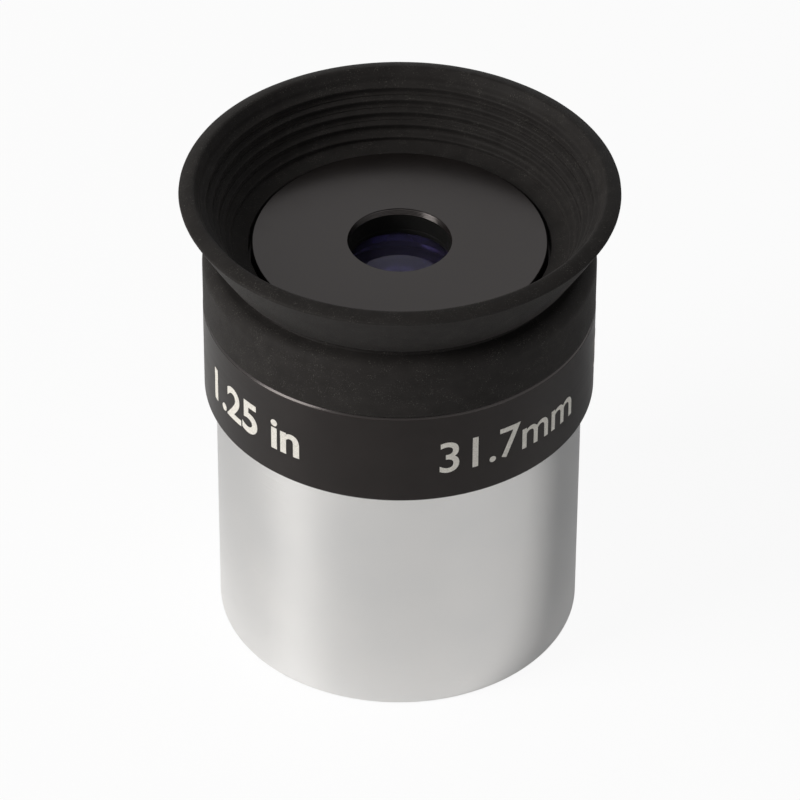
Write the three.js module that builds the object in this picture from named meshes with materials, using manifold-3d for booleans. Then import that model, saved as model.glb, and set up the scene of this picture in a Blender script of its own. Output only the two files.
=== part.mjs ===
// Telescope eyepiece: a symmetrical four-element eyepiece of 6.5 mm focal length with a 1.25-inch barrel.
// Millimetres. +Z runs up the optical axis to the eye, and the origin is the centre of the barrel's bottom rim.
import * as THREE from "three";
import { mergeVertices } from "three/addons/utils/BufferGeometryUtils.js";
import Module from "manifold-3d";

// ---- Driving dimensions ----

const COLUMNS = 48; // flats round the barrel, the housing and the eyecup
const SMALL_COLUMNS = 32; // flats round the lens cell and everything in it
const GAP = 0.03; // between two pieces that rest on each other

// Barrel: 31.7 mm outside, screwed into the housing at the top, threaded for a filter at the bottom.
const BARREL_RADIUS = 15.85;
const BARREL_BORE = 13.6;
const BARREL_TOP_Z = 29.05;
const BARREL_CHAMFER = 0.3;
const SEAT_Z = 23.75; // the housing's underside, which stops the eyepiece on a drawtube
const RECESS_DEPTH = 0.3; // the barrel's shoulder bottoms in a shallow recess in that face
const RECESS_RADIUS = 15.95;

// M30 x 0.75 joint between the barrel and the housing.
const JOINT_PITCH = 0.75;
const JOINT_LOW_Z = 24.9;
const JOINT_TURNS = 5;
const JOINT_ROOT = 14.6;
const JOINT_DEPTH = 0.4;
const JOINT_CLEARANCE = 0.12;
const JOINT_ENTRY_TURNS = 1; // turns that the housing's thread starts below the barrel's

// M28.5 x 0.6 filter thread inside the barrel's mouth.
const FILTER_PITCH = 0.6;
const FILTER_LOW_Z = 0.45;
const FILTER_TURNS = 6;
const FILTER_ROOT = 14.27;
const FILTER_DEPTH = 0.33;

// Housing: the lettered ring, the neck that the rubber grips, and the top face with the eye hole.
const RING_RADIUS = 16.85;
const RING_CHAMFER = 0.22;
const RING_TOP_Z = 32.8;
const NECK_RADIUS = 14.4;
const BEAD_RADIUS = 15.0; // the bead that stops the eyecup from slipping off
const BEAD_LOW_Z = 36.0;
const BEAD_TOP_Z = 37.2;
const DISC_RADIUS = 12.6;
const DISC_TOP_Z = 38.78;
const EYE_HOLE_RADIUS = 4.42;
const HOUSING_BORE = 13.1;
const CELL_SEAT_Z = 34.1;

// Lens cell: a flanged tube that holds the two cemented pairs below the eye hole.
const CELL_RADIUS = 6.9;
const CELL_TOP_Z = 36.6;
const CELL_BOTTOM_Z = 22.6;
const CELL_BORE = 4.76;
const CELL_LIP = 0.46;
const FLANGE_RADIUS = 12.95;
const FLANGE_THICKNESS = 1.55;
const LOCK_RING_THICKNESS = 1.5;
const STOP_RADIUS = 5.4;
const STOP_HOLE_RADIUS = 2.95;
const STOP_THICKNESS = 1.0;
const RETAINER_RADIUS = 5.1;
const RETAINER_HEIGHT = 1.4;

// Threads of the slotted rings and of the field stop.
const LOCK_PITCH = 0.75;
const LOCK_TURNS = 2;
const FINE_PITCH = 0.5;
const RETAINER_TURNS = 2.5;
const STOP_TURNS = 2;
const RING_THREAD_DEPTH = 0.6; // as a share of the pitch
const RING_THREAD_CLEARANCE = 0.07;

// Optics: crown n 1.620 and flint n 1.755, which give 6.5 mm. The crowns face each other.
const LENS_RADIUS = 4.7;
const OUTER_CURVE = 32.0; // the flints' outer faces, gently convex
const INNER_CURVE = 8.2; // the cemented faces and the crowns' inner faces
const CROWN_CENTRE = 3.8;
const FLINT_CENTRE = 1.0;
const AIR_SPACE = 0.4;
const CEMENT = 0.02;
const BACK_FOCUS = 3.25; // from the field lens down to the field stop

// Eyecup: one rubber moulding, in three solids because it folds.
const SKIRT_RADIUS = 16.83;
const SKIRT_GRIP = 0.06; // clearance on the neck
const FLOOR_Z = 38.5;
const FLOOR_HOLE_RADIUS = 13.0;
const FLOOR_EDGE_RADIUS = 14.3;
const GROOVE_RADIUS = 14.95; // the bottom of the crease outside the fold
const FOLD_Z = 38.85; // the thin wall that the cup folds at
const FLARE_EDGE = [15.64, 38.93]; // the fine edge that hangs over the crease
const RIM_RADIUS = 18.69;
const RIM_EDGE_Z = 44.03;
const RIM_TOP = [17.6, 44.52];
const RIM_ROUND = 0.22;
const RIM_SPLIT_INNER = [17.06, 43.95];
const RIM_SPLIT_OUTER = [18.05, 42.92];

// The cup's ribbed inside lies on a cone, given by two of its points.
const CONE_TOP = [17.35, 44.5];
const CONE_LOW = [14.2, 38.4];
const RIBS = 4;
const FIRST_RIB = 1.72; // distances down the cone from its top point
const RIB_SPACING = 1.09;
const RIB_TO_GROOVE = 0.5;
const LAST_RIB = 5.84;
const RIB_HEIGHT = 0.12; // of a rib's crest inside the cone, and of a groove outside it

// ---- Geometry helpers ----

// A closed body of revolution about Z. Its rows run up the outside and down the inside, and each is a
// point [radius, height], or a function that gives the point for a turn between 0 and 1.
function turned(rows, columns = COLUMNS) {
  const positions = [];
  for (let column = 0; column <= columns; column++) {
    const turn = column / columns;
    // The last column stands exactly on the first.
    const angle = 2 * Math.PI * (column % columns) / columns;
    for (const row of rows) {
      const [radius, height] = typeof row === "function" ? row(turn) : row;
      positions.push(radius * Math.cos(angle), radius * Math.sin(angle), height);
    }
  }
  const index = [];
  for (let column = 0; column < columns; column++) {
    for (let row = 0; row < rows.length; row++) {
      const above = (row + 1) % rows.length;
      const a = column * rows.length + row;
      const b = column * rows.length + above;
      const c = b + rows.length;
      const d = a + rows.length;
      index.push(a, d, c, a, c, b);
    }
  }
  const geometry = new THREE.BufferGeometry();
  geometry.setAttribute("position", new THREE.Float32BufferAttribute(positions, 3));
  geometry.setIndex(index);
  return welded(geometry);
}

// The same surface with its coincident vertices joined and the triangles that have no area left out.
function welded(geometry) {
  const merged = mergeVertices(geometry, 1e-4);
  const kept = [];
  const corners = merged.index.array;
  for (let i = 0; i < corners.length; i += 3) {
    const [a, b, c] = corners.slice(i, i + 3);
    if (a !== b && b !== c && c !== a) kept.push(a, b, c);
  }
  merged.setIndex(kept);
  return merged;
}

// Points on an arc in the profile plane, the ends included. Angles in degrees, from +radius towards +Z.
function arc([radius, height], size, from, to, steps) {
  return Array.from({ length: steps + 1 }, (_, i) => {
    const angle = THREE.MathUtils.degToRad(from + ((to - from) * i) / steps);
    return [radius + size * Math.cos(angle), height + size * Math.sin(angle)];
  });
}

// Rows of a right-handed V thread, from low to high. Even rows and odd rows take turns as root and crest,
// every row climbs one pitch in a turn, and the crests run out into the root at both ends, over a share
// of a pitch.
function threadRows({ low, turns, pitch, root, crest, crestIsOdd, runOut = 1 }) {
  const high = low + turns * pitch;
  return Array.from({ length: 2 * turns + 3 }, (_, i) => (turn) => {
    const half = i - 2;
    const height = THREE.MathUtils.clamp(low + (half / 2 + turn) * pitch, low, high);
    const isCrest = (half % 2 !== 0) === crestIsOdd;
    const fade = Math.min(1, (height - low) / (runOut * pitch), (high - height) / (runOut * pitch));
    return [isCrest ? root + (crest - root) * fade : root, height];
  });
}

// The two sides of a short thread that stays screwed home: the ring's outside and the wall round it. Both
// have their nominal radius as the ring's crest.
function ringThread({ radius, low, turns, pitch }) {
  const depth = RING_THREAD_DEPTH * pitch;
  const shared = { low, turns, pitch, runOut: 0.5 };
  const wallRoot = radius + RING_THREAD_CLEARANCE;
  return {
    ring: threadRows({ ...shared, root: radius - depth, crest: radius, crestIsOdd: true }),
    wall: threadRows({ ...shared, root: wallRoot, crest: wallRoot - depth, crestIsOdd: false }).reverse(),
    wallRoot,
    ringRoot: radius - depth,
  };
}

// Points of a lens face from the axis to the lens's edge: side 1 bulges up, side -1 bulges down.
function lensFace(apex, curve, side, steps = 5) {
  return Array.from({ length: steps + 1 }, (_, i) => {
    const radius = (LENS_RADIUS * i) / steps;
    return [radius, apex - side * (curve - Math.sqrt(curve * curve - radius * radius))];
  });
}

const wasm = await Module();
wasm.setup();

function toSolid(geometry) {
  const plain = new THREE.BufferGeometry();
  plain.setAttribute("position", geometry.getAttribute("position").clone());
  plain.setIndex(geometry.index ? Array.from(geometry.index.array) : null);
  const merged = mergeVertices(plain, 1e-4);
  return new wasm.Manifold(
    new wasm.Mesh({
      numProp: 3,
      vertProperties: new Float32Array(merged.attributes.position.array),
      triVerts: new Uint32Array(merged.index.array),
    }),
  );
}

function toGeometry(solid) {
  const mesh = solid.getMesh();
  const geometry = new THREE.BufferGeometry();
  geometry.setAttribute("position", new THREE.Float32BufferAttribute(mesh.vertProperties, 3));
  geometry.setIndex(new THREE.BufferAttribute(mesh.triVerts, 1));
  return geometry;
}

// A ring with two spanner slots across its lower face, one on each side.
function slotted(ring, { width, depth, outerRadius, lowZ }) {
  const bar = new THREE.BoxGeometry(4 * outerRadius, width, 2 * depth);
  bar.translate(0, 0, lowZ);
  return toGeometry(toSolid(ring).subtract(toSolid(bar)));
}

// ---- Materials ----

const chrome = { color: 0xd2cfcb, metalness: 1.0, roughness: 0.22 };
const anodised = { color: 0x2b2928, metalness: 0.4, roughness: 0.42 };
const blackened = { color: 0x181818, metalness: 0.2, roughness: 0.8 };
const rubber = { color: 0x1b1a19, metalness: 0.0, roughness: 0.85 };
const glass = { color: 0x5a6a90, metalness: 0.0, roughness: 0.03, transparent: true, opacity: 0.4 };

function piece(name, geometry, look) {
  const mesh = new THREE.Mesh(geometry, new THREE.MeshStandardMaterial(look));
  mesh.name = name;
  return mesh;
}

// ---- Barrel ----

const jointThread = { low: JOINT_LOW_Z, turns: JOINT_TURNS, pitch: JOINT_PITCH };

function makeBarrel() {
  const mouth = FILTER_ROOT + 0.2;
  const top = BARREL_TOP_Z;
  const filterHigh = FILTER_LOW_Z + FILTER_TURNS * FILTER_PITCH;
  const shoulder = SEAT_Z + RECESS_DEPTH - GAP;
  return turned([
    [mouth, 0],
    [BARREL_RADIUS - BARREL_CHAMFER, 0],
    [BARREL_RADIUS, BARREL_CHAMFER],
    [BARREL_RADIUS, shoulder],
    [JOINT_ROOT - 0.1, shoulder], // relief behind the thread
    [JOINT_ROOT - 0.1, JOINT_LOW_Z - 0.1],
    ...threadRows({ ...jointThread, root: JOINT_ROOT, crest: JOINT_ROOT + JOINT_DEPTH, crestIsOdd: true }),
    [JOINT_ROOT, top - 0.2],
    [JOINT_ROOT - 0.2, top],
    [BARREL_BORE + 0.2, top],
    [BARREL_BORE, top - 0.2],
    [BARREL_BORE, filterHigh + 1.2],
    [FILTER_ROOT, filterHigh + 0.7], // relief above the filter thread
    ...threadRows({
      low: FILTER_LOW_Z,
      turns: FILTER_TURNS,
      pitch: FILTER_PITCH,
      root: FILTER_ROOT,
      crest: FILTER_ROOT - FILTER_DEPTH,
      crestIsOdd: true,
    }).reverse(),
  ]);
}

// ---- Heights of the stack, from the eye lens's edge under the cell's lip down to the field stop ----

const sag = (curve) => curve - Math.sqrt(curve * curve - LENS_RADIUS * LENS_RADIUS);
const eyeEdgeZ = CELL_TOP_Z - CELL_LIP - GAP;
const eyeApexZ = eyeEdgeZ + sag(OUTER_CURVE);
const middleZ = eyeApexZ - FLINT_CENTRE - CROWN_CENTRE - AIR_SPACE / 2;
const eyeCrownEdgeZ = middleZ + AIR_SPACE / 2 + sag(INNER_CURVE);
const fieldEdgeZ = 2 * middleZ - eyeEdgeZ;
const stopZ = 2 * middleZ - eyeApexZ - BACK_FOCUS;
const retainerTopZ = fieldEdgeZ - GAP;
const retainerLowZ = retainerTopZ - RETAINER_HEIGHT;
const stopTopZ = stopZ + STOP_THICKNESS / 2;
const flangeTopZ = CELL_SEAT_Z - GAP;
const flangeLowZ = flangeTopZ - FLANGE_THICKNESS;
const lockRingTopZ = flangeLowZ - GAP;

const lockThread = ringThread({
  radius: FLANGE_RADIUS,
  low: lockRingTopZ - LOCK_RING_THICKNESS,
  turns: LOCK_TURNS,
  pitch: LOCK_PITCH,
});
const retainerThread = ringThread({
  radius: RETAINER_RADIUS,
  low: retainerLowZ,
  turns: RETAINER_TURNS,
  pitch: FINE_PITCH,
});
const stopThread = ringThread({
  radius: STOP_RADIUS,
  low: stopTopZ - STOP_THICKNESS,
  turns: STOP_TURNS,
  pitch: FINE_PITCH,
});

// ---- Housing ----

function makeHousing() {
  const root = JOINT_ROOT + JOINT_DEPTH + JOINT_CLEARANCE;
  const turns = JOINT_TURNS + JOINT_ENTRY_TURNS;
  const threadLow = JOINT_LOW_Z - JOINT_ENTRY_TURNS * JOINT_PITCH;
  const threadHigh = threadLow + turns * JOINT_PITCH;
  const reliefTop = BARREL_TOP_Z + 0.85;
  return turned([
    [RECESS_RADIUS, SEAT_Z + RECESS_DEPTH],
    [RECESS_RADIUS, SEAT_Z],
    [RING_RADIUS - RING_CHAMFER, SEAT_Z],
    [RING_RADIUS, SEAT_Z + RING_CHAMFER],
    [RING_RADIUS, RING_TOP_Z - RING_CHAMFER],
    [RING_RADIUS - RING_CHAMFER, RING_TOP_Z],
    [NECK_RADIUS, RING_TOP_Z],
    [NECK_RADIUS, BEAD_LOW_Z - 0.3],
    [BEAD_RADIUS, BEAD_LOW_Z],
    [BEAD_RADIUS, BEAD_TOP_Z - 0.3],
    [BEAD_RADIUS - 0.3, BEAD_TOP_Z],
    [DISC_RADIUS, BEAD_TOP_Z],
    [DISC_RADIUS, DISC_TOP_Z - 0.12],
    [DISC_RADIUS - 0.12, DISC_TOP_Z],
    [EYE_HOLE_RADIUS, DISC_TOP_Z],
    [EYE_HOLE_RADIUS, CELL_TOP_Z + GAP],
    [CELL_RADIUS + 0.15, CELL_TOP_Z + GAP],
    [CELL_RADIUS + 0.15, CELL_SEAT_Z],
    [HOUSING_BORE, CELL_SEAT_Z],
    [HOUSING_BORE, flangeLowZ],
    [lockThread.wallRoot, flangeLowZ - GAP],
    ...lockThread.wall,
    [lockThread.wallRoot, reliefTop + 0.2],
    [lockThread.wallRoot + 0.2, reliefTop],
    [root + 0.1, reliefTop],
    [root + 0.1, threadHigh + 0.15],
    ...threadRows({
      low: threadLow,
      turns,
      pitch: JOINT_PITCH,
      root,
      crest: root - JOINT_DEPTH,
      crestIsOdd: false,
    }).reverse(),
  ]);
}

// ---- Lens cell and the rings in it ----

function makeLensCell() {
  return turned(
    [
      [stopThread.wallRoot, CELL_BOTTOM_Z],
      [CELL_RADIUS - 0.2, CELL_BOTTOM_Z],
      [CELL_RADIUS, CELL_BOTTOM_Z + 0.2],
      [CELL_RADIUS, flangeLowZ],
      [FLANGE_RADIUS, flangeLowZ],
      [FLANGE_RADIUS, flangeTopZ],
      [CELL_RADIUS, flangeTopZ],
      [CELL_RADIUS, CELL_TOP_Z],
      [EYE_HOLE_RADIUS, CELL_TOP_Z],
      [EYE_HOLE_RADIUS, CELL_TOP_Z - CELL_LIP],
      [CELL_BORE, CELL_TOP_Z - CELL_LIP],
      [CELL_BORE, fieldEdgeZ],
      [retainerThread.wallRoot, fieldEdgeZ],
      ...retainerThread.wall,
      [retainerThread.wallRoot, stopTopZ + 0.2],
      [stopThread.wallRoot, stopTopZ + 0.2],
      ...stopThread.wall,
    ],
    SMALL_COLUMNS,
  );
}

function makeCellRetainer() {
  const inner = LENS_RADIUS - 0.7;
  const bevel = 0.12; // clears the field lens's convex face
  const ring = turned(
    [
      [inner, retainerLowZ],
      ...retainerThread.ring,
      [retainerThread.ringRoot, retainerTopZ],
      [inner, retainerTopZ - bevel],
    ],
    SMALL_COLUMNS,
  );
  return slotted(ring, { width: 0.8, depth: 0.6, outerRadius: RETAINER_RADIUS, lowZ: retainerLowZ });
}

// The stop's knife edge is at the focal plane, halfway up the ring.
function makeFieldStop() {
  const low = stopTopZ - STOP_THICKNESS;
  const ring = turned(
    [
      [STOP_HOLE_RADIUS + STOP_THICKNESS / 2, low],
      ...stopThread.ring,
      [STOP_HOLE_RADIUS + STOP_THICKNESS / 2, stopTopZ],
      [STOP_HOLE_RADIUS, stopZ + 0.05],
      [STOP_HOLE_RADIUS, stopZ - 0.05],
    ],
    SMALL_COLUMNS,
  );
  return slotted(ring, { width: 0.8, depth: 0.3, outerRadius: STOP_RADIUS, lowZ: low });
}

function makeCellLockRing() {
  const low = lockRingTopZ - LOCK_RING_THICKNESS;
  const inner = CELL_RADIUS + 0.6;
  const ring = turned([[inner, low], ...lockThread.ring, [inner, lockRingTopZ]]);
  return slotted(ring, { width: 1.2, depth: 0.7, outerRadius: FLANGE_RADIUS, lowZ: low });
}

// ---- Optics ----

// A lens from its lower and upper faces, each given from the axis outwards.
const lens = (lower, upper) => turned([...lower, ...upper.reverse()], SMALL_COLUMNS);

// The eye pair is made as given, and the field pair is its mirror image below the middle of the stack.
function makeEyeFlint() {
  const cemented = eyeApexZ - FLINT_CENTRE;
  return lens(lensFace(cemented + CEMENT, INNER_CURVE, 1), lensFace(eyeApexZ, OUTER_CURVE, 1));
}

function makeEyeCrown() {
  const cemented = eyeApexZ - FLINT_CENTRE;
  return lens(lensFace(cemented - CROWN_CENTRE, INNER_CURVE, -1), lensFace(cemented, INNER_CURVE, 1));
}

function mirrored(geometry) {
  geometry.scale(1, 1, -1);
  geometry.translate(0, 0, 2 * middleZ);
  const index = Array.from(geometry.index.array);
  for (let i = 0; i < index.length; i += 3) {
    [index[i + 1], index[i + 2]] = [index[i + 2], index[i + 1]];
  }
  geometry.setIndex(index);
  return geometry;
}

function makeLensSpacer() {
  const inner = LENS_RADIUS - 0.45;
  const edge = eyeCrownEdgeZ - middleZ - GAP;
  const innerFace = INNER_CURVE - Math.sqrt(INNER_CURVE ** 2 - inner ** 2);
  const innerHeight = AIR_SPACE / 2 + innerFace - GAP; // bevelled to the crowns' faces
  return turned(
    [
      [inner, middleZ - innerHeight],
      [LENS_RADIUS, middleZ - edge],
      [LENS_RADIUS, middleZ + edge],
      [inner, middleZ + innerHeight],
    ],
    SMALL_COLUMNS,
  );
}

// ---- Eyecup ----

const gripRadius = NECK_RADIUS + SKIRT_GRIP;
const beadPocket = BEAD_RADIUS + SKIRT_GRIP;

function makeEyecupSkirt() {
  const shoulder = 1.25;
  return turned([
    [gripRadius, RING_TOP_Z + GAP],
    [SKIRT_RADIUS - 0.12, RING_TOP_Z + GAP],
    [SKIRT_RADIUS, RING_TOP_Z + GAP + 0.12],
    ...arc([SKIRT_RADIUS - shoulder, 36.85], shoulder, 0, 85, 5),
    [GROOVE_RADIUS, 38.15],
    [GROOVE_RADIUS, FOLD_Z - GAP],
    [FLOOR_EDGE_RADIUS + 0.12, FOLD_Z - GAP],
    [FLOOR_EDGE_RADIUS, FLOOR_Z],
    [FLOOR_HOLE_RADIUS, FLOOR_Z],
    [FLOOR_HOLE_RADIUS, BEAD_TOP_Z + 0.1],
    [beadPocket - 0.3, BEAD_TOP_Z + 0.1],
    [beadPocket, BEAD_TOP_Z - 0.2],
    [beadPocket, BEAD_LOW_Z - 0.1],
    [gripRadius, BEAD_LOW_Z - 0.4],
  ]);
}

// A point on the ribbed cone, by its distance down the cone and its height inside it.
function onCone(down, height = 0) {
  const slope = new THREE.Vector2(...CONE_LOW).sub(new THREE.Vector2(...CONE_TOP)).normalize();
  return [
    CONE_TOP[0] + slope.x * down + slope.y * height,
    CONE_TOP[1] + slope.y * down - slope.x * height,
  ];
}

// The ribs and the grooves under them, going down the cone.
function ribRows() {
  const crests = Array.from({ length: RIBS }, (_, k) => FIRST_RIB + RIB_SPACING * k);
  return [...crests, LAST_RIB].flatMap((down) => [
    onCone(down - RIB_TO_GROOVE / 2, 0),
    onCone(down, RIB_HEIGHT),
    onCone(down + RIB_TO_GROOVE, -RIB_HEIGHT),
  ]);
}

function makeEyecupFlare() {
  const split = new THREE.Vector2(...RIM_SPLIT_INNER).sub(new THREE.Vector2(...RIM_SPLIT_OUTER));
  const away = new THREE.Vector2(-split.y, split.x).setLength(GAP); // square to the split, down and in
  const shifted = ([radius, height]) => [radius + away.x, height + away.y];
  return turned([
    [FLOOR_EDGE_RADIUS + 0.12, FOLD_Z],
    [GROOVE_RADIUS, FOLD_Z],
    FLARE_EDGE,
    shifted(RIM_SPLIT_OUTER),
    shifted(RIM_SPLIT_INNER),
    ...ribRows(),
  ]);
}

function makeEyecupRim() {
  const edge = [RIM_RADIUS - RIM_ROUND, RIM_EDGE_Z];
  return turned([
    RIM_SPLIT_OUTER,
    ...arc(edge, RIM_ROUND, -37, 75, 4),
    ...arc([RIM_TOP[0], RIM_TOP[1] - 0.3], 0.3, 75, 150, 3),
    RIM_SPLIT_INNER,
  ]);
}

// ---- Assembly ----

const eyepiece = new THREE.Group();
eyepiece.add(
  piece("barrel", makeBarrel(), chrome),
  piece("housing", makeHousing(), anodised),
  piece("lens_cell", makeLensCell(), blackened),
  piece("cell_lock_ring", makeCellLockRing(), blackened),
  piece("cell_retainer", makeCellRetainer(), blackened),
  piece("field_stop", makeFieldStop(), blackened),
  piece("eye_flint", makeEyeFlint(), glass),
  piece("eye_crown", makeEyeCrown(), glass),
  piece("lens_spacer", makeLensSpacer(), blackened),
  piece("field_crown", mirrored(makeEyeCrown()), glass),
  piece("field_flint", mirrored(makeEyeFlint()), glass),
  piece("eyecup_skirt", makeEyecupSkirt(), rubber),
  piece("eyecup_flare", makeEyecupFlare(), rubber),
  piece("eyecup_rim", makeEyecupRim(), rubber),
);

export default eyepiece;
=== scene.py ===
"""Telescope eyepiece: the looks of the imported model, as smooth turned pieces over its frame.

Outlines are in millimetres, as [radius, height] points about the optical axis, and are made in metres.
"""
import math

import bmesh
import bpy
from mathutils import Matrix, Vector, noise


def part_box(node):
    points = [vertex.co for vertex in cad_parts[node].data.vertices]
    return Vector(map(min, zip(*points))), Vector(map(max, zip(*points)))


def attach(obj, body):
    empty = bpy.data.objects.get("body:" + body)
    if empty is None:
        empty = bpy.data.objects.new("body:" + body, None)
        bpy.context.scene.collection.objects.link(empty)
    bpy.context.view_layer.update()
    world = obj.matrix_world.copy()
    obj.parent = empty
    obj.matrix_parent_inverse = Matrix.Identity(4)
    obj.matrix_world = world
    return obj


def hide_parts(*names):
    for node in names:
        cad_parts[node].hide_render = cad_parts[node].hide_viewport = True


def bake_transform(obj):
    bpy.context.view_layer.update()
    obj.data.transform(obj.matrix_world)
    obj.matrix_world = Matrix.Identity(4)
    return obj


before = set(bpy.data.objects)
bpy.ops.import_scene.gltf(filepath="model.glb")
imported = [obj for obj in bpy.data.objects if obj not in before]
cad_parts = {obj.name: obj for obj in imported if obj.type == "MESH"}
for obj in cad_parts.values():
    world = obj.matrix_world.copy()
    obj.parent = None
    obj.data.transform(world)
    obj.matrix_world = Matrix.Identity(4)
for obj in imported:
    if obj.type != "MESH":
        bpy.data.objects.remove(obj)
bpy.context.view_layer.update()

MM = 0.001
COLUMNS = 240  # round the barrel, the housing and the eyecup
SMALL_COLUMNS = 128  # round the lens cell and everything in it
SHARP = math.radians(32)  # a steeper turn between two faces is drawn as an edge
WELD = 2e-7  # metres, within which points are one
FILLET_STEPS = 4
SLACK = 0.03  # between pieces that lie against each other


# ---- Sizes read from the frame ----

def low(node):
    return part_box(node)[0].z / MM


def top(node):
    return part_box(node)[1].z / MM


def outside(node):
    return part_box(node)[1].x / MM


# ---- Outlines ----

def arc(centre, size, start, end, steps):
    """Points on an arc, the ends included. Angles in degrees, from +radius towards +Z."""
    points = []
    for step in range(steps + 1):
        angle = math.radians(start + (end - start) * step / steps)
        points.append((centre[0] + size * math.cos(angle), centre[1] + size * math.sin(angle)))
    return points


def rounded(corners):
    """A closed outline whose corners (radius, height, fillet) become arcs. Other rows are kept."""
    plain = [Vector((c(0) if callable(c) else c)[:2]) for c in corners]
    rows = []
    for i, corner in enumerate(corners):
        if callable(corner) or len(corner) < 3:
            rows.append(corner)
            continue
        here, fillet = plain[i], corner[2]
        before = (plain[i - 1] - here).normalized()
        after = (plain[(i + 1) % len(plain)] - here).normalized()
        half = before.angle(after) / 2
        centre = here + (before + after).normalized() * (fillet / math.sin(half))
        reach = fillet / math.tan(half)
        first, last = here + before * reach - centre, here + after * reach - centre
        for step in range(FILLET_STEPS + 1):
            share = step / FILLET_STEPS
            point = centre + first.lerp(last, share).normalized() * fillet
            rows.append((point.x, point.y))
    return rows


def thread(low_z, turns, pitch, root, crest, crest_is_odd, run_out=1.0):
    """Rows of a right-handed V thread from low to high, which climb one pitch in a turn."""
    high = low_z + turns * pitch

    def row(half):
        def point(turn):
            height = min(max(low_z + (half / 2 + turn) * pitch, low_z), high)
            fade = min(1, (height - low_z) / (run_out * pitch), (high - height) / (run_out * pitch))
            is_crest = (half % 2 != 0) == crest_is_odd
            return (root + (crest - root) * fade if is_crest else root, height)
        return point

    return [row(half) for half in range(-2, int(2 * turns) + 1)]


# ---- Meshes ----

def turned(name, rows, materials, columns=COLUMNS, paint=None, wobble=None):
    """A closed body of revolution. Its rows run up the outside and down the inside.

    paint(radius, height) picks a face's material, and wobble(point) moves a finished point a little.
    """
    points, faces = [], []
    for column in range(columns):
        turn = column / columns
        angle = 2 * math.pi * turn
        for row in rows:
            radius, height = row(turn) if callable(row) else row
            point = Vector((radius * math.cos(angle), radius * math.sin(angle), height))
            points.append((wobble(point) if wobble else point) * MM)
    # A threaded row at the end of the last column meets the row one pitch up, which starts there.
    seam = [row(1.0) if callable(row) else None for row in rows]
    count = len(rows)
    base = len(points)
    for row in range(count):
        if seam[row]:
            radius, height = seam[row]
            points.append(Vector((radius, 0, height)) * MM)
        else:
            points.append(points[row])
    for column in range(columns):
        start = column * count
        end = base if column == columns - 1 else start + count
        for row in range(count):
            above = (row + 1) % count
            faces.append((start + row, end + row, end + above, start + above))
    mesh = bpy.data.meshes.new(name)
    mesh.from_pydata([tuple(p) for p in points], [], faces)
    piece = bpy.data.objects.new(name, mesh)
    bpy.context.collection.objects.link(piece)
    clean(mesh)
    for material in materials:
        mesh.materials.append(material)
    if paint:
        for face in mesh.polygons:
            centre = face.center / MM
            face.material_index = paint(math.hypot(centre.x, centre.y), centre.z)
    finish_shading(piece)
    return piece


def clean(mesh):
    """Joins coincident points and drops faces that have no area."""
    work = bmesh.new()
    work.from_mesh(mesh)
    bmesh.ops.remove_doubles(work, verts=work.verts, dist=WELD)
    bmesh.ops.dissolve_degenerate(work, edges=work.edges, dist=WELD)
    bmesh.ops.recalc_face_normals(work, faces=work.faces)
    work.to_mesh(mesh)
    work.free()


def finish_shading(piece):
    piece.data.shade_smooth()
    piece.data.set_sharp_from_angle(angle=SHARP)
    weighted = piece.modifiers.new("normals", "WEIGHTED_NORMAL")
    weighted.keep_sharp = True


def slotted(piece, width, depth, floor_z):
    """Cuts two spanner slots across the lower face of a ring."""
    half = (outside_of(piece) * 2, width / 2, depth)
    corners = [(x, y, z) for x in (-1, 1) for y in (-1, 1) for z in (-1, 1)]
    cube = bpy.data.meshes.new("slot")
    cube.from_pydata(
        [(x * half[0] * MM, y * half[1] * MM, (floor_z + z * half[2]) * MM) for x, y, z in corners],
        [],
        [(0, 1, 3, 2), (4, 6, 7, 5), (0, 4, 5, 1), (2, 3, 7, 6), (0, 2, 6, 4), (1, 5, 7, 3)],
    )
    cutter = bpy.data.objects.new("slot", cube)
    bpy.context.collection.objects.link(cutter)
    piece.modifiers.clear()
    cut = piece.modifiers.new("slots", "BOOLEAN")
    cut.object = cutter
    cut.solver = "EXACT"
    graph = bpy.context.evaluated_depsgraph_get()
    mesh = bpy.data.meshes.new_from_object(piece.evaluated_get(graph))
    piece.modifiers.clear()
    piece.data = mesh
    bpy.data.objects.remove(cutter)
    finish_shading(piece)


def outside_of(piece):
    return max(vertex.co.x for vertex in piece.data.vertices) / MM


# ---- Materials ----

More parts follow.
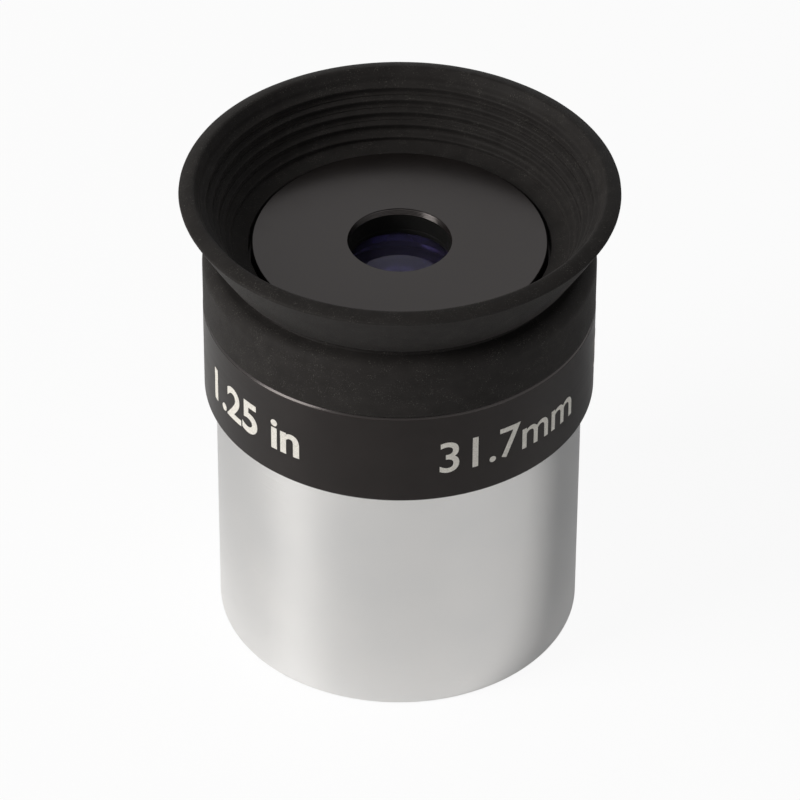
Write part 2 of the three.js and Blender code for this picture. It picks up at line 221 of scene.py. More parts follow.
class Finish:
    """A node material built round one Principled BSDF."""

    def __init__(self, name, **inputs):
        self.material = bpy.data.materials.new(name)
        self.material.use_nodes = True
        self.tree = self.material.node_tree
        self.shader = self.tree.nodes["Principled BSDF"]
        self.place = self.add("ShaderNodeTexCoord").outputs["Object"]
        self.set(self.shader, inputs)

    def set(self, node, inputs):
        for name, value in inputs.items():
            socket = node.inputs[name.replace("_", " ") if isinstance(name, str) else name]
            if isinstance(value, bpy.types.NodeSocket):
                self.tree.links.new(value, socket)
            else:
                socket.default_value = value

    def add(self, kind, sockets=None, **attributes):
        node = self.tree.nodes.new(kind)
        for name, value in attributes.items():
            setattr(node, name, value)
        self.set(node, sockets or {})
        return node

    def noise(self, size, detail=3.0, stretch=(1, 1, 1)):
        """Soft noise with spots of about that size in millimetres, drawn out along an axis by stretch."""
        scale = [1 / (size * MM * s) for s in stretch]
        mapped = self.add("ShaderNodeMapping", {"Vector": self.place, "Scale": scale})
        made = self.add("ShaderNodeTexNoise", {"Vector": mapped.outputs[0], "Scale": 1.0, "Detail": detail})
        return made.outputs["Fac"]

    def ramp(self, fac, *stops):
        """Maps fac through (position, colour) stops."""
        node = self.add("ShaderNodeValToRGB", {"Fac": fac})
        elements = node.color_ramp.elements
        while len(elements) < len(stops):
            elements.new(0.5)
        for element, (position, colour) in zip(elements, stops):
            element.position = position
            element.color = (*colour, 1)
        return node.outputs["Color"]

    def between(self, fac, a, b, low_fac=0.3, high_fac=0.7):
        """A number that goes from a to b as fac goes from low_fac to high_fac."""
        node = self.add(
            "ShaderNodeMapRange",
            {"Value": fac, "From Min": low_fac, "From Max": high_fac, "To Min": a, "To Max": b},
        )
        return node.outputs["Result"]

    def maths(self, operation, a, b):
        return self.add("ShaderNodeMath", {0: a, 1: b}, operation=operation).outputs[0]

    def bump(self, height, depth, normal=None):
        """Relief of that depth in millimetres."""
        sockets = {"Height": height, "Distance": depth * MM, "Strength": 1.0}
        if normal:
            sockets["Normal"] = normal
        return self.add("ShaderNodeBump", sockets).outputs["Normal"]

    def finish(self, **inputs):
        self.set(self.shader, inputs)
        return self.material


def chrome():
    """Satin chrome over a turned tube: fine marks round it, and a little unevenness in the polish."""
    f = Finish("chrome", Metallic=1.0, Anisotropic=0.55)
    marks = f.noise(0.05, 2.0, (400, 400, 1))
    cloud = f.noise(6.0, 4.0)
    tint = f.ramp(cloud, (0.3, (0.765, 0.76, 0.755)), (0.7, (0.80, 0.79, 0.78)))
    rough = f.maths("ADD", f.between(marks, 0.17, 0.25), f.between(cloud, -0.02, 0.03))
    f.shader.inputs["Anisotropic Rotation"].default_value = 0.25
    tangent = f.add("ShaderNodeTangent", direction_type="RADIAL", axis="Z").outputs[0]
    return f.finish(
        Base_Color=tint, Roughness=rough, Normal=f.bump(marks, 0.0012), Tangent=tangent
    )


def bare_metal():
    """Cut metal in the threads and the mouth of the barrel."""
    f = Finish("bare_metal", Metallic=1.0)
    marks = f.noise(0.04, 2.0, (300, 300, 1))
    tint = f.ramp(marks, (0.3, (0.58, 0.57, 0.55)), (0.7, (0.72, 0.71, 0.69)))
    return f.finish(Base_Color=tint, Roughness=f.between(marks, 0.25, 0.4), Normal=f.bump(marks, 0.002))


def matt_black():
    """Antireflection paint and blackened brass inside."""
    f = Finish("matt_black", Specular_IOR_Level=0.15)
    grain = f.noise(0.12, 3.0)
    cloud = f.noise(2.5, 3.0)
    tint = f.ramp(cloud, (0.3, (0.006, 0.006, 0.0055)), (0.7, (0.010, 0.0095, 0.009)))
    return f.finish(Base_Color=tint, Roughness=f.between(grain, 0.5, 0.75), Normal=f.bump(grain, 0.006))


def anodised(name, roughness, grain_depth, gloss):
    """Black anodised aluminium: a very fine even grain with faint turning marks."""
    f = Finish(name, Specular_IOR_Level=gloss)
    f.shader.inputs["Specular Tint"].default_value = (1.0, 0.91, 0.89, 1)
    grain = f.noise(0.035, 2.0)
    marks = f.noise(0.06, 2.0, (300, 300, 1))
    cloud = f.noise(3.0, 3.0)
    tint = f.ramp(cloud, (0.3, (0.0095, 0.0080, 0.0075)), (0.7, (0.0125, 0.0105, 0.0098)))
    turned_marks = f.between(marks, roughness - 0.03, roughness + 0.03)
    rough = f.maths("ADD", turned_marks, f.between(cloud, -0.015, 0.015))
    normal = f.bump(grain, grain_depth)
    return f.finish(Base_Color=tint, Roughness=rough, Normal=f.bump(marks, grain_depth * 0.5, normal))


def rubber():
    """Moulded rubber: matt, mottled, with a fine skin and pale specks of dust."""
    f = Finish("rubber", Specular_IOR_Level=0.05, Sheen_Weight=0.02, Sheen_Roughness=0.5)
    skin = f.noise(0.09, 2.0)
    cloud = f.noise(1.6, 4.0)
    tint = f.ramp(cloud, (0.3, (0.0190, 0.0172, 0.0164)), (0.7, (0.0250, 0.0228, 0.0217)))
    specks = f.noise(0.09, 1.0)
    thin = f.noise(1.1, 2.0)
    where = f.between(thin, 0.1, 0.8, 0.42, 0.62)
    dust = f.maths("MULTIPLY", f.between(specks, 0.0, 1.0, 0.60, 0.74), where)
    mix = f.add("ShaderNodeMix", data_type="RGBA")
    f.tree.links.new(dust, mix.inputs[0])
    f.tree.links.new(tint, mix.inputs[6])
    mix.inputs[7].default_value = (0.10, 0.095, 0.085, 1)
    return f.finish(
        Base_Color=mix.outputs[2], Roughness=f.between(skin, 0.45, 0.68), Normal=f.bump(skin, 0.016)
    )


def coated_glass(name, index, coating):
    """Optical glass with a violet-blue antireflection coating, which keeps its reflections weak."""
    f = Finish(name, Transmission_Weight=0.97, IOR=index, Roughness=0.0)
    f.shader.inputs["Specular Tint"].default_value = (*coating, 1)
    cloud = f.noise(2.0, 2.0)
    tint = f.ramp(cloud, (0.3, (0.42, 0.38, 0.63)), (0.7, (0.46, 0.42, 0.69)))
    return f.finish(Base_Color=tint)


def print_white():
    """Off-white filling of the engraved numerals, a little uneven."""
    f = Finish("print_white", Specular_IOR_Level=0.3)
    grain = f.noise(0.12, 3.0)
    tint = f.ramp(grain, (0.3, (0.62, 0.59, 0.53)), (0.65, (0.80, 0.77, 0.71)))
    return f.finish(Base_Color=tint, Roughness=f.between(grain, 0.5, 0.7), Normal=f.bump(grain, 0.01))


CHROME = chrome()
BARE = bare_metal()
MATT = matt_black()
RING_BLACK = anodised("ring_black", 0.36, 0.0012, 0.28)
FACE_BLACK = anodised("face_black", 0.20, 0.0005, 0.38)
BRIGHT_CUT = anodised("bright_cut", 0.22, 0.0004, 0.5)
RUBBER = rubber()
COATING = (0.27, 0.25, 0.56)
# The indices are lower than real glass has, to keep the reflections weak.
CROWN_GLASS = coated_glass("crown_glass", 1.33, COATING)
FLINT_GLASS = coated_glass("flint_glass", 1.36, COATING)
WHITE = print_white()


# ---- Barrel ----

BARREL_RADIUS = outside("barrel")
BARREL_TOP = top("barrel")
SEAT = low("housing")
BARREL_BORE = 13.6
FILTER_ROOT = 14.27
FILTER_DEPTH = 0.33
FILTER_LOW = 0.45
FILTER_PITCH = 0.6
FILTER_TURNS = 6
JOINT_ROOT = 14.6
JOINT_DEPTH = 0.4
JOINT_CLEARANCE = 0.12
JOINT_LOW = 24.9
JOINT_PITCH = 0.75
JOINT_TURNS = 5
SHOULDER = SEAT + 0.27


def make_barrel():
    filter_high = FILTER_LOW + FILTER_TURNS * FILTER_PITCH
    rows = rounded([
        (FILTER_ROOT + 0.2, 0, 0.05),
        (BARREL_RADIUS - 0.3, 0, 0.12),
        (BARREL_RADIUS, 0.3, 0.3),
        (BARREL_RADIUS, SHOULDER, 0.05),
        (JOINT_ROOT - 0.1, SHOULDER),
        (JOINT_ROOT - 0.1, JOINT_LOW - 0.1),
        *thread(JOINT_LOW, JOINT_TURNS, JOINT_PITCH, JOINT_ROOT, JOINT_ROOT + JOINT_DEPTH, True),
        (JOINT_ROOT, BARREL_TOP - 0.2),
        (JOINT_ROOT - 0.2, BARREL_TOP, 0.05),
        (BARREL_BORE + 0.2, BARREL_TOP, 0.05),
        (BARREL_BORE, BARREL_TOP - 0.2),
        (BARREL_BORE, filter_high + 1.2),
        (FILTER_ROOT, filter_high + 0.7),
        *reversed(thread(
            FILTER_LOW, FILTER_TURNS, FILTER_PITCH, FILTER_ROOT, FILTER_ROOT - FILTER_DEPTH, True
        )),
    ])

    def paint(radius, height):
        if radius < JOINT_ROOT - 0.12 and filter_high + 0.8 < height < BARREL_TOP - 0.1:
            return 2
        return 0 if radius > BARREL_RADIUS - 0.32 else 1

    barrel = turned("barrel_tube", rows, [CHROME, BARE, MATT], paint=paint)
    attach(barrel, "barrel")
    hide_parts("barrel")


# ---- Housing ----

RING_RADIUS = outside("housing")
FACE_TOP = top("housing")
RING_TOP = low("eyecup_skirt") - SLACK
NECK_RADIUS = 14.4
BEAD_RADIUS = 15.0
BEAD_LOW = 36.0
BEAD_TOP = 37.2
FACE_RADIUS = 12.6
EYE_HOLE = 4.42
HOUSING_BORE = 13.1
CELL_TOP = top("lens_cell")
CELL_LOW = low("lens_cell")
FLANGE_RADIUS = outside("lens_cell")
CELL_RADIUS = 6.9
CELL_SEAT = 34.1
FLANGE_TOP = CELL_SEAT - SLACK
FLANGE_LOW = FLANGE_TOP - 1.55
LOCK_TOP = top("cell_lock_ring")
LOCK_LOW = low("cell_lock_ring")
RING_THREAD_DEPTH = 0.6  # of the slotted rings' threads, as a share of the pitch
RING_THREAD_CLEARANCE = 0.07
LOCK_PITCH = 0.75
LOCK_TURNS = 2
FINE_PITCH = 0.5
RETAINER_TURNS = 2.5
STOP_TURNS = 2
EDGE_BREAK = 0.22  # the chamfers on the ring
RECESS_RADIUS = 15.95
GROOVE_PITCH = 0.14  # of the fine bright-cut grooves under the eye hole's edge
GROOVE_PROFILE = ((0.02, 0.07), (0.25, 0.055), (0.5, 0.02), (0.75, 0.0), (0.98, 0.0))
GROOVES = 4


def thread_on_ring(radius, low_z, turns, pitch):
    """The thread outside a slotted ring of that radius."""
    return thread(low_z, turns, pitch, radius - RING_THREAD_DEPTH * pitch, radius, True, 0.5)


def thread_in_wall(radius, low_z, turns, pitch):
    """The thread in the wall round a slotted ring of that radius, downwards, and the wall's own radius."""
    wall = radius + RING_THREAD_CLEARANCE
    rows = thread(low_z, turns, pitch, wall, wall - RING_THREAD_DEPTH * pitch, False, 0.5)
    return list(reversed(rows)), wall


def make_housing():
    root = JOINT_ROOT + JOINT_DEPTH + JOINT_CLEARANCE
    thread_low = JOINT_LOW - JOINT_PITCH
    thread_high = thread_low + (JOINT_TURNS + 1) * JOINT_PITCH
    relief = BARREL_TOP + 0.85
    lock_wall, lock_radius = thread_in_wall(FLANGE_RADIUS, LOCK_LOW, LOCK_TURNS, LOCK_PITCH)
    bore_low = CELL_TOP + SLACK
    groove_top = FACE_TOP - 0.1
    grooves = []
    for k in range(GROOVES):
        start = groove_top - k * GROOVE_PITCH
        for share, depth in GROOVE_PROFILE:
            grooves.append((EYE_HOLE + depth, start - share * GROOVE_PITCH))
    rows = rounded([
        (RECESS_RADIUS, SEAT + 0.3),
        (RECESS_RADIUS, SEAT, 0.04),
        (RING_RADIUS - EDGE_BREAK, SEAT, 0.08),
        (RING_RADIUS, SEAT + EDGE_BREAK, 0.15),
        (RING_RADIUS, RING_TOP - EDGE_BREAK, 0.15),
        (RING_RADIUS - EDGE_BREAK, RING_TOP, 0.08),
        (NECK_RADIUS, RING_TOP, 0.1),
        (NECK_RADIUS, BEAD_LOW - 0.3),
        (BEAD_RADIUS, BEAD_LOW, 0.1),
        (BEAD_RADIUS, BEAD_TOP - 0.3, 0.1),
        (BEAD_RADIUS - 0.3, BEAD_TOP, 0.1),
        (FACE_RADIUS, BEAD_TOP, 0.1),
        (FACE_RADIUS, FACE_TOP, 0.12),
        (EYE_HOLE, FACE_TOP, 0.04),
        *grooves,
        (EYE_HOLE, bore_low),
        (CELL_RADIUS + 0.15, bore_low),
        (CELL_RADIUS + 0.15, CELL_SEAT),
        (HOUSING_BORE, CELL_SEAT),
        (HOUSING_BORE, FLANGE_LOW),
        (lock_radius, FLANGE_LOW - SLACK),
        *lock_wall,
        (lock_radius, relief + 0.2),
        (lock_radius + 0.2, relief),
        (root + 0.1, relief),
        (root + 0.1, thread_high + 0.15),
        *reversed(thread(thread_low, JOINT_TURNS + 1, JOINT_PITCH, root, root - JOINT_DEPTH, False)),
    ])

    def paint(radius, height):
        if radius < EYE_HOLE + 0.1:
            return 2 if height > FACE_TOP - 0.66 else 3
        if height > BEAD_TOP and radius < FACE_RADIUS + 0.1:
            return 0
        on_chamfer = radius > RING_RADIUS - 0.21 and height > RING_TOP - 0.21
        return 2 if on_chamfer else 1

    finishes = [FACE_BLACK, RING_BLACK, BRIGHT_CUT, MATT]
    housing = turned("housing_shell", rows, finishes, paint=paint)
    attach(housing, "housing")
    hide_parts("housing")


# ---- Lens cell and the rings in it ----

LENS_RADIUS = 4.7
OUTER_CURVE = 32.0
INNER_CURVE = 8.2
CROWN_CENTRE = 3.8
FLINT_CENTRE = 1.0
AIR_SPACE = 0.4
CEMENT = 0.02
CELL_BORE = 4.76
CELL_LIP = 0.46
STOP_HOLE = 2.95
KNIFE_EDGE = 0.03  # half the thickness of the field stop's edge
FACE_STEPS = 14  # along a lens face, from its axis to its edge


def sag(curve, radius=LENS_RADIUS):
    return curve - math.sqrt(curve * curve - radius * radius)


EYE_APEX = top("eye_flint")
MIDDLE = (EYE_APEX + low("field_flint")) / 2
RETAINER_TOP = top("cell_retainer")
RETAINER_LOW = low("cell_retainer")
RETAINER_RADIUS = outside("cell_retainer")
STOP_TOP = top("field_stop")
STOP_LOW = low("field_stop")
STOP_RADIUS = outside("field_stop")


def inner_piece(name, node, rows, material, body="housing"):
    piece = turned(name, rows, [material], columns=SMALL_COLUMNS)
    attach(piece, body)
    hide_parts(node)
    return piece


def make_lens_cell():
    retainer_wall, retainer_radius = thread_in_wall(
        RETAINER_RADIUS, RETAINER_LOW, RETAINER_TURNS, FINE_PITCH
    )
    stop_wall, stop_radius = thread_in_wall(STOP_RADIUS, STOP_LOW, STOP_TURNS, FINE_PITCH)
    rows = rounded([
        (stop_radius, CELL_LOW, 0.04),
        (CELL_RADIUS, CELL_LOW, 0.2),
        (CELL_RADIUS, FLANGE_LOW, 0.1),
        (FLANGE_RADIUS, FLANGE_LOW, 0.1),
        (FLANGE_RADIUS, FLANGE_TOP, 0.1),
        (CELL_RADIUS, FLANGE_TOP, 0.1),
        (CELL_RADIUS, CELL_TOP, 0.1),
        (EYE_HOLE, CELL_TOP, 0.04),
        (EYE_HOLE, CELL_TOP - CELL_LIP, 0.04),
        (CELL_BORE, CELL_TOP - CELL_LIP),
        (CELL_BORE, RETAINER_TOP + SLACK),
        (retainer_radius, RETAINER_TOP + SLACK),
        *retainer_wall,
        (retainer_radius, STOP_TOP + 0.2),
        (stop_radius, STOP_TOP + 0.2),
        *stop_wall,
    ])
    inner_piece("lens_tube", "lens_cell", rows, MATT)


def make_rings():
    on_lock = thread_on_ring(FLANGE_RADIUS, LOCK_LOW, LOCK_TURNS, LOCK_PITCH)
    inner = CELL_RADIUS + 0.6
    rows = [(inner, LOCK_LOW), *on_lock, (inner, LOCK_TOP)]
    lock = inner_piece("lock_ring", "cell_lock_ring", rows, MATT)
    slotted(lock, 1.2, 0.7, LOCK_LOW)

    on_retainer = thread_on_ring(RETAINER_RADIUS, RETAINER_LOW, RETAINER_TURNS, FINE_PITCH)
    inner = LENS_RADIUS - 0.7
    root = RETAINER_RADIUS - RING_THREAD_DEPTH * FINE_PITCH
    rows = [(inner, RETAINER_LOW), *on_retainer, (root, RETAINER_TOP), (inner, RETAINER_TOP - 0.12)]
    retainer = inner_piece("retaining_ring", "cell_retainer", rows, MATT)
    slotted(retainer, 0.8, 0.6, RETAINER_LOW)

    on_stop = thread_on_ring(STOP_RADIUS, STOP_LOW, STOP_TURNS, FINE_PITCH)
    half = (STOP_TOP - STOP_LOW) / 2
    edge = (STOP_TOP + STOP_LOW) / 2
    rows = [
        (STOP_HOLE + half, STOP_LOW),
        *on_stop,
        (STOP_HOLE + half, STOP_TOP),
        (STOP_HOLE, edge + KNIFE_EDGE),
        (STOP_HOLE, edge - KNIFE_EDGE),
    ]
    stop = inner_piece("stop_ring", "field_stop", rows, MATT)
    slotted(stop, 0.8, 0.3, STOP_LOW)


# ---- Optics ----

def face(apex, curve, side):
    """Points of a lens face from near the axis to the edge: side 1 bulges up, side -1 bulges down."""
    radii = [LENS_RADIUS * max(step, 0.002) / FACE_STEPS for step in range(FACE_STEPS + 1)]
    return [(radius, apex - side * sag(curve, radius)) for radius in radii]


def lens(name, node, lower, upper, glass, flipped):
    """A lens from its lower and upper faces. The field pair is the eye pair's mirror image."""
    rows = [*lower, *reversed(upper)]
    if flipped:
        rows = [(radius, 2 * MIDDLE - height) for radius, height in reversed(rows)]
    inner_piece(name, node, rows, glass, body="optics")


def make_optics():
    cemented = EYE_APEX - FLINT_CENTRE
    for side, flipped in (("eye", False), ("field", True)):
        lens(
            f"{side}_outer_lens",
            f"{side}_flint",
            face(cemented + CEMENT, INNER_CURVE, 1),
            face(EYE_APEX, OUTER_CURVE, 1),
            FLINT_GLASS,
            flipped,
        )
        lens(
            f"{side}_inner_lens",
            f"{side}_crown",
            face(cemented - CROWN_CENTRE, INNER_CURVE, -1),
            face(cemented, INNER_CURVE, 1),
            CROWN_GLASS,
            flipped,
        )
    inner = LENS_RADIUS - 0.45
    edge = AIR_SPACE / 2 + sag(INNER_CURVE) - SLACK
    inner_edge = AIR_SPACE / 2 + sag(INNER_CURVE, inner) - SLACK
    rows = [
        (inner, MIDDLE - inner_edge),
        (LENS_RADIUS, MIDDLE - edge),
        (LENS_RADIUS, MIDDLE + edge),
        (inner, MIDDLE + inner_edge),
    ]
    inner_piece("spacer_ring", "lens_spacer", rows, MATT, body="optics")


# ---- Eyecup ----

SKIRT_RADIUS = outside("eyecup_skirt")
SKIRT_LOW = low("eyecup_skirt")
RIM_RADIUS = outside("eyecup_rim")
RIM_EDGE = 44.03
FLOOR_Z = 38.5
FLOOR_HOLE = 12.88
GROOVE_RADIUS = 14.95  # of the crease between the flare and the skirt
GROOVE_Z = 38.85
GRIP_GAP = 0.06  # between the rubber and the housing's neck
SHOULDER_RADIUS = 1.25
SHOULDER_Z = 36.85
EDGE_ROUND = 0.07
UNDERSIDE_STEPS = 12
UNDERSIDE_HOLLOW = 0.08
CONE_START = 0.55
CONE_STEP = 0.055
CONE_ROWS = 108
FLARE_EDGE = (15.64, 38.91)  # the fine edge that hangs over the crease

# The ribbed inside lies on a cone through these two points.
CONE_TOP = Vector((17.35, 44.5))
CONE_LOW = Vector((14.2, 38.4))
CONE_END = 6.5  # down the cone, where it meets the floor
RIB_SPACING = 1.09
FIRST_RIB = 1.72
RIBS = 5


def on_cone(down, height):
    slope = (CONE_LOW - CONE_TOP).normalized()
    inward = Vector((slope.y, -slope.x))
    point = CONE_TOP + slope * down + inward * height
    return (point.x, point.y)


def bell(distance, width):
    return math.exp(-(distance / width) ** 2)


def rib_height(down):
    """Height of the ribbed face inside the cone: round beads, and a fine sharp line in each groove."""
    height = -0.16
    for k in range(RIBS):
        crest = FIRST_RIB + RIB_SPACING * k
        height += 0.36 * bell(down - crest, 0.28)
        if k < RIBS - 2:
            height += 0.13 * max(0.0, 1 - abs(down - crest - 0.64) / 0.10)
    height += 0.10 * bell(down - 0.75, 0.45)
    return height * min(1.0, (CONE_END - down) / 0.25)


def make_eyecup():
    downs = [CONE_START + CONE_STEP * k for k in range(CONE_ROWS)]
    cone = [on_cone(down, rib_height(down)) for down in downs]
    grip = NECK_RADIUS + GRIP_GAP
    pocket = BEAD_RADIUS + GRIP_GAP
    rim_low = (RIM_RADIUS - 0.04, RIM_EDGE - 0.12)
    underside = []
    for k in range(1, UNDERSIDE_STEPS):
        share = k / UNDERSIDE_STEPS
        radius = FLARE_EDGE[0] + EDGE_ROUND + (rim_low[0] - FLARE_EDGE[0] - EDGE_ROUND) * share
        height = FLARE_EDGE[1] + EDGE_ROUND + (rim_low[1] - FLARE_EDGE[1] - EDGE_ROUND) * share
        underside.append((radius, height - UNDERSIDE_HOLLOW * math.sin(math.pi * share)))
    rows = rounded([
        (grip, SKIRT_LOW, 0.08),
        (SKIRT_RADIUS, SKIRT_LOW, 0.1),
        *[(SKIRT_RADIUS, SKIRT_LOW + 0.3 + 0.5 * k) for k in range(8)],
        *arc((SKIRT_RADIUS - SHOULDER_RADIUS, SHOULDER_Z), SHOULDER_RADIUS, 0, 84, 12),
        (15.3, 38.06),
        (GROOVE_RADIUS + 0.1, 38.12),
        (GROOVE_RADIUS, 38.25),
        (GROOVE_RADIUS, GROOVE_Z - 0.2),
        (GROOVE_RADIUS + 0.15, GROOVE_Z - 0.06),
        (FLARE_EDGE[0] - 0.12, FLARE_EDGE[1] - EDGE_ROUND),
        FLARE_EDGE,
        (FLARE_EDGE[0] + EDGE_ROUND, FLARE_EDGE[1] + EDGE_ROUND),
        *underside,
        *arc((RIM_RADIUS - 0.2, RIM_EDGE), 0.2, -36, 66, 6),
        (18.1, 44.42),
        (17.75, 44.50),
        *arc((17.55, 44.2), 0.32, 86, 140, 5),
        *cone,
        (FLOOR_HOLE + 0.9, FLOOR_Z),
        (FLOOR_HOLE, FLOOR_Z, 0.12),
        (FLOOR_HOLE, BEAD_TOP + 0.1),
        (pocket, BEAD_TOP + 0.1, 0.1),
        (pocket, BEAD_LOW - 0.1, 0.1),
        (grip, BEAD_LOW - 0.4),
    ])

    def wobble(point):
        """Moulded rubber is never quite true."""
        share = min(1.0, max(0.0, (point.z - SKIRT_LOW) / 6))
        push = noise.noise(point * 0.12) * 0.05 + noise.noise(point * 0.6) * 0.012
        return point + Vector((point.x, point.y, 0)).normalized() * push * share

    cup = turned("eyecup", rows, [RUBBER], wobble=wobble)
    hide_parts("eyecup_skirt", "eyecup_flare", "eyecup_rim")
    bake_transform(cup)


# ---- Numerals ----

PRINT_BASE = 26.68  # height of the foot of the numerals
PRINT_HEIGHT = 2.9
PRINT_RELIEF = 0.02
FONT_CAP = 0.64  # cap height of the built-in font, as a share of its size
STRIP = 0.25  # width of the strips that the letters bend in
CUT = 1e-5
LETTER_WELD = 1e-4


def make_print(name, text, right_of_front, thickness):
    """Numerals wrapped round the ring, from that angle in degrees to the right of the front."""
    curve = bpy.data.curves.new(name, "FONT")
    curve.body = text
    curve.size = PRINT_HEIGHT / FONT_CAP
    curve.offset = thickness
    curve.extrude = 0.5
    curve.resolution_u = 6
    flat = bpy.data.objects.new(name, curve)
    bpy.context.collection.objects.link(flat)
    graph = bpy.context.evaluated_depsgraph_get()
    mesh = bpy.data.meshes.new_from_object(flat.evaluated_get(graph))
    bpy.data.objects.remove(flat)
    split_long(mesh)
    for vertex in mesh.vertices:
        along, up, depth = vertex.co
        angle = math.radians(right_of_front - 90) + along / RING_RADIUS
        radius = RING_RADIUS + (PRINT_RELIEF if depth > 0 else -PRINT_RELIEF)
        place = Vector((radius * math.cos(angle), radius * math.sin(angle), PRINT_BASE + up))
        vertex.co = place * MM
    mesh.materials.clear()
    mesh.materials.append(WHITE)
    piece = bpy.data.objects.new(name, mesh)
    bpy.context.collection.objects.link(piece)
    piece.data.shade_smooth()
    piece.data.set_sharp_from_angle(angle=SHARP)
    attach(piece, "housing")


def split_long(mesh):
    """Cuts flat letters into upright strips, so that they bend round the ring."""
    work = bmesh.new()
    work.from_mesh(mesh)
    xs = [vertex.co.x for vertex in work.verts]
    at = min(xs) + STRIP
    while at < max(xs):
        everything = [*work.verts, *work.edges, *work.faces]
        bmesh.ops.bisect_plane(work, geom=everything, dist=CUT, plane_co=(at, 0, 0), plane_no=(1, 0, 0))
        at += STRIP
    bmesh.ops.remove_doubles(work, verts=work.verts, dist=LETTER_WELD)
    work.to_mesh(mesh)
    work.free()


# ---- Stage ----

AIM_HEIGHT = 0.02  # metres, where the lamps point
FLOOR_SIZE = 4.0  # metres, from the middle to an edge
FLOOR_DROP = 0.02  # below the barrel's rim
FLOOR_GREY = (0.93, 0.93, 0.93, 1)
PLAIN_SHARES = (("Is Camera Ray", 0.93), ("Is Glossy Ray", 0.05), ("Is Transmission Ray", 0.05))
CEILING_START = 0.66
CEILING_END = 0.88
CEILING_LEVEL = 0.12
WHITE_LIGHT = (1, 1, 1)
CAMERA_ELEVATION = 38.5705
CAMERA_ROLL = -0.3406
CAMERA_DISTANCE = 475.4225
CAMERA_AIM_RIGHT = 0.1032
CAMERA_AIM_UP = 16.6883
CAMERA_SENSOR = 36
CAMERA_LENS = 238.916


def make_lamp(name, azimuth, elevation, distance, size, level, colour=(1, 1, 1)):
    """A soft box that lights the object at that share of plain level. Angles in degrees, from +X to +Y."""
    data = bpy.data.lights.new(name, "AREA")
    data.shape = "RECTANGLE"
    data.size, data.size_y = size
    data.energy = math.pi ** 2 * distance ** 2 * level
    data.color = colour
    lamp = bpy.data.objects.new(name, data)
    a, e = math.radians(azimuth), math.radians(elevation)
    away = Vector((math.cos(a) * math.cos(e), math.sin(a) * math.cos(e), math.sin(e)))
    lamp.location = Vector((0, 0, AIM_HEIGHT)) + away * distance
    lamp.rotation_mode = "QUATERNION"
    lamp.rotation_quaternion = away.to_track_quat("Z", "Y")
    bpy.context.collection.objects.link(lamp)


def make_floor():
    """A pale floor, mostly plain white to the camera, with a part of the shadow. Clear from below."""
    size = FLOOR_SIZE
    mesh = bpy.data.meshes.new("floor")
    height = -FLOOR_DROP * MM
    mesh.from_pydata(
        [(-size, -size, height), (size, -size, height), (size, size, height), (-size, size, height)],
        [],
        [(0, 1, 2, 3)],
    )
    floor = bpy.data.objects.new("floor", mesh)
    bpy.context.collection.objects.link(floor)
    material = bpy.data.materials.new("floor_white")
    material.use_nodes = True
    tree = material.node_tree
    tree.nodes.clear()
    output = tree.nodes.new("ShaderNodeOutputMaterial")
    mix = tree.nodes.new("ShaderNodeMixShader")
    sheet = tree.nodes.new("ShaderNodeBsdfPrincipled")
    sheet.inputs["Base Color"].default_value = FLOOR_GREY
    sheet.inputs["Roughness"].default_value = 0.48
    plain = tree.nodes.new("ShaderNodeEmission")
    plain.inputs["Strength"].default_value = 1.0
    path = tree.nodes.new("ShaderNodeLightPath")
    shares = []
    for ray, share in PLAIN_SHARES:
        scaled = tree.nodes.new("ShaderNodeMath")
        scaled.operation = "MULTIPLY"
        scaled.inputs[1].default_value = share
        tree.links.new(path.outputs[ray], scaled.inputs[0])
        shares.append(scaled.outputs[0])
    total = shares[0]
    for share in shares[1:]:
        highest = tree.nodes.new("ShaderNodeMath")
        highest.operation = "MAXIMUM"
        tree.links.new(total, highest.inputs[0])
        tree.links.new(share, highest.inputs[1])
        total = highest.outputs[0]
    tree.links.new(total, mix.inputs[0])
    tree.links.new(sheet.outputs[0], mix.inputs[1])
    tree.links.new(plain.outputs[0], mix.inputs[2])
    clear = tree.nodes.new("ShaderNodeBsdfTransparent")
    below = tree.nodes.new("ShaderNodeMixShader")
    side = tree.nodes.new("ShaderNodeNewGeometry")
    tree.links.new(side.outputs["Backfacing"], below.inputs[0])
    tree.links.new(mix.outputs[0], below.inputs[1])
    tree.links.new(clear.outputs[0], below.inputs[2])
    tree.links.new(below.outputs[0], output.inputs["Surface"])
    mesh.materials.append(material)


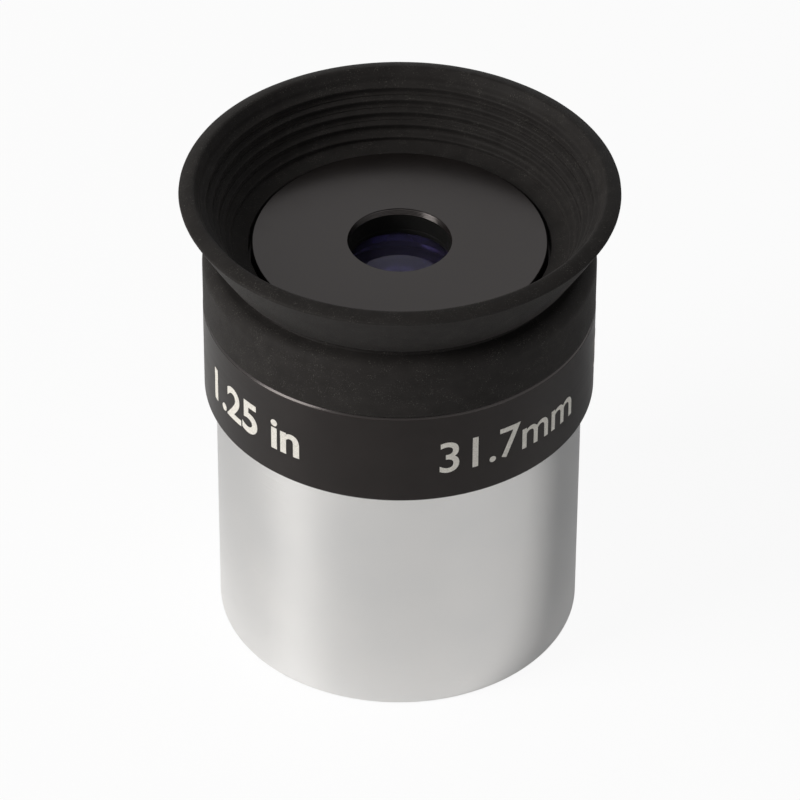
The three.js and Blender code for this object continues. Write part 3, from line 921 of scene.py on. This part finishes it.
def make_world(level, colour):
    """Soft light from all round, and plain white where it is seen. Mirrored, it darkens overhead."""
    world = bpy.data.worlds.new("studio")
    bpy.context.scene.world = world
    world.use_nodes = True
    tree = world.node_tree
    tree.nodes.clear()

    def background(strength, tint):
        node = tree.nodes.new("ShaderNodeBackground")
        node.inputs["Color"].default_value = (*tint, 1)
        node.inputs["Strength"].default_value = strength
        return node

    def mixed(fac, first, second):
        node = tree.nodes.new("ShaderNodeMixShader")
        tree.links.new(fac, node.inputs[0])
        tree.links.new(first.outputs[0], node.inputs[1])
        tree.links.new(second.outputs[0], node.inputs[2])
        return node

    path = tree.nodes.new("ShaderNodeLightPath")
    glossy = tree.nodes.new("ShaderNodeMath")
    glossy.operation = "MAXIMUM"
    tree.links.new(path.outputs["Is Glossy Ray"], glossy.inputs[0])
    tree.links.new(path.outputs["Is Transmission Ray"], glossy.inputs[1])
    place = tree.nodes.new("ShaderNodeTexCoord")
    parts = tree.nodes.new("ShaderNodeSeparateXYZ")
    tree.links.new(place.outputs["Generated"], parts.inputs[0])
    ceiling = tree.nodes.new("ShaderNodeMapRange")
    ceiling.inputs["From Min"].default_value = CEILING_START
    ceiling.inputs["From Max"].default_value = CEILING_END
    tree.links.new(parts.outputs["Z"], ceiling.inputs["Value"])
    overhead = background(CEILING_LEVEL, WHITE_LIGHT)
    mirrored = mixed(ceiling.outputs[0], background(1.0, WHITE_LIGHT), overhead)
    lit = mixed(glossy.outputs[0], background(level, colour), mirrored)
    seen = mixed(path.outputs["Is Camera Ray"], lit, background(1.0, WHITE_LIGHT))
    output = tree.nodes.new("ShaderNodeOutputWorld")
    tree.links.new(seen.outputs[0], output.inputs["Surface"])


def make_camera():
    elevation = math.radians(CAMERA_ELEVATION)
    roll = math.radians(CAMERA_ROLL)
    right = Vector((1, 0, 0))
    up = Vector((0, math.sin(elevation), math.cos(elevation)))
    back = Vector((0, -math.cos(elevation), math.sin(elevation)))
    across = right * math.cos(roll) - up * math.sin(roll)
    upright = right * math.sin(roll) + up * math.cos(roll)
    data = bpy.data.cameras.new("camera")
    data.sensor_width = CAMERA_SENSOR
    data.lens = CAMERA_LENS
    data.clip_start = 0.01
    data.clip_end = 20
    camera = bpy.data.objects.new("camera", data)
    turn = Matrix((across, upright, back)).transposed().to_4x4()
    place = (right * CAMERA_AIM_RIGHT + up * CAMERA_AIM_UP + back * CAMERA_DISTANCE) * MM
    camera.matrix_world = Matrix.Translation(place) @ turn
    bpy.context.collection.objects.link(camera)
    bpy.context.scene.camera = camera


make_barrel()
make_housing()
make_lens_cell()
make_rings()
make_optics()
make_eyecup()
make_print("print_inch", "1.25 in", -71, 0.10)
make_print("print_metric", "31.7mm", 11, 0.03)
make_print("print_field", "52°", 82, 0.03)

make_camera()
make_floor()
make_world(0.08, (0.95, 0.98, 1.0))
make_lamp("key", 203, 30, 0.6, (0.25, 0.5), 0.98, (1.0, 0.99, 0.97))
make_lamp("fill", 315, 12, 0.7, (0.4, 0.3), 0.14, (0.97, 0.98, 1.0))
make_lamp("overhead", 90, 78, 0.7, (0.4, 0.4), 0.06)

bpy.context.scene.view_settings.view_transform = "Standard"
